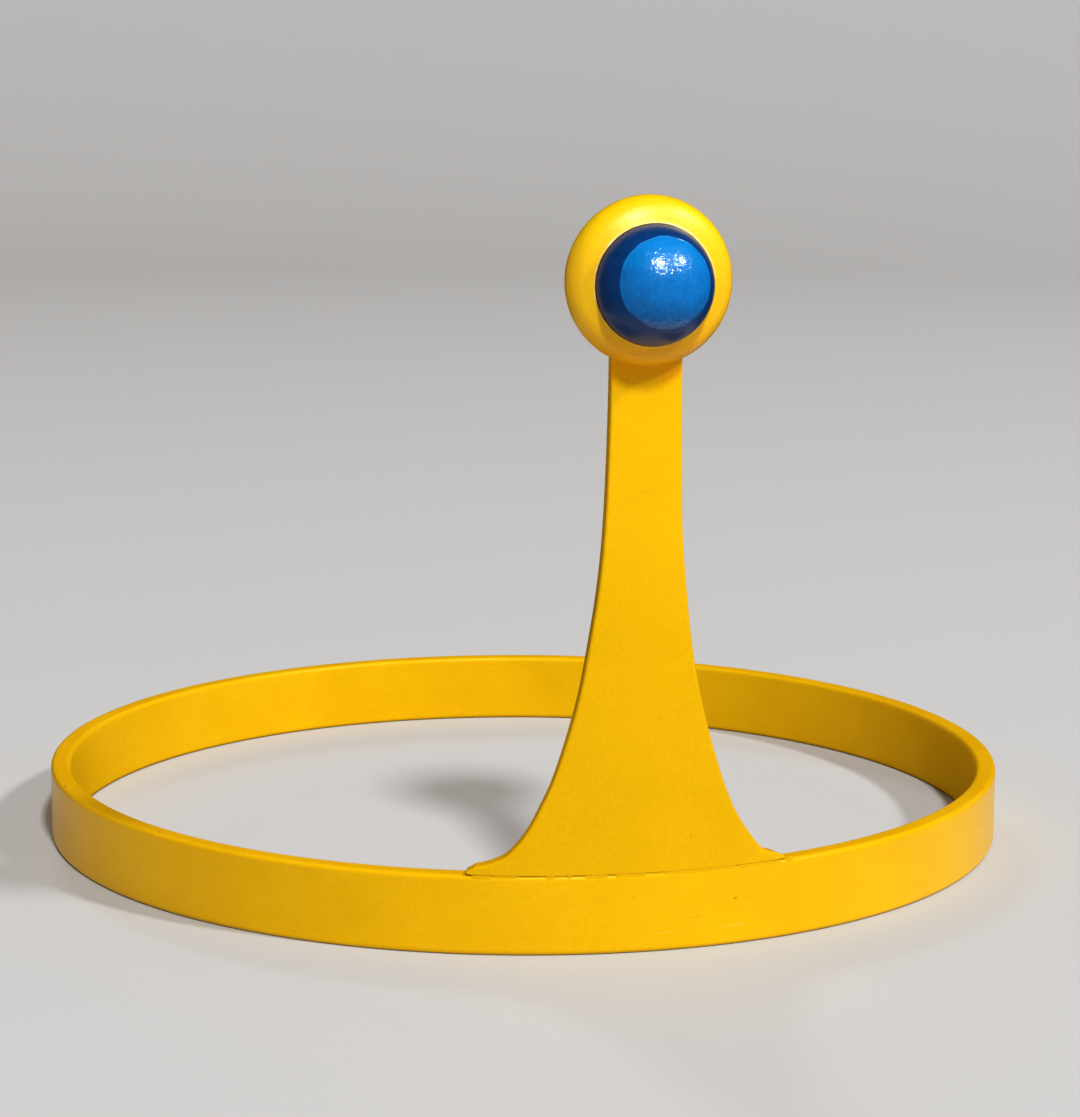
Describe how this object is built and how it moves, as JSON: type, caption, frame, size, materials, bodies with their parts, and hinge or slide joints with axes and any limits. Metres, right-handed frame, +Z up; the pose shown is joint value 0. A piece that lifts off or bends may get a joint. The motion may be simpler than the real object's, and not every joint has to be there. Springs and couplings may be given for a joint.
{
  "type": "costume crown",
  "caption": "Thin painted hoop worn on the head, with a tall flared stem at the front that carries a round knob and a domed blue jewel.",
  "frame": {"origin": "centre of the hoop, on the plane of its flat underside", "axes": "+Z up along the hoop's centre line, stem and jewel at the front on the -Y side, +X to the wearer's left"},
  "size_m": [0.2, 0.2147, 0.1385],
  "materials": {
    "hoop_paint": "satin hand-brushed golden yellow paint on wood",
    "stem_paint": "satin hand-brushed golden yellow paint on wood",
    "knob_paint": "smooth satin bright yellow paint on wood",
    "dark_blue_paint": "smooth gloss dark blue paint",
    "light_blue_gloss": "rippled gloss light blue paint"
  },
  "bodies": {
    "root": {"band": "hoop_paint", "stem": "stem_paint", "knob": "knob_paint", "jewel_collar": "dark_blue_paint", "jewel_dome": "light_blue_gloss"}
  },
  "joints": []
}
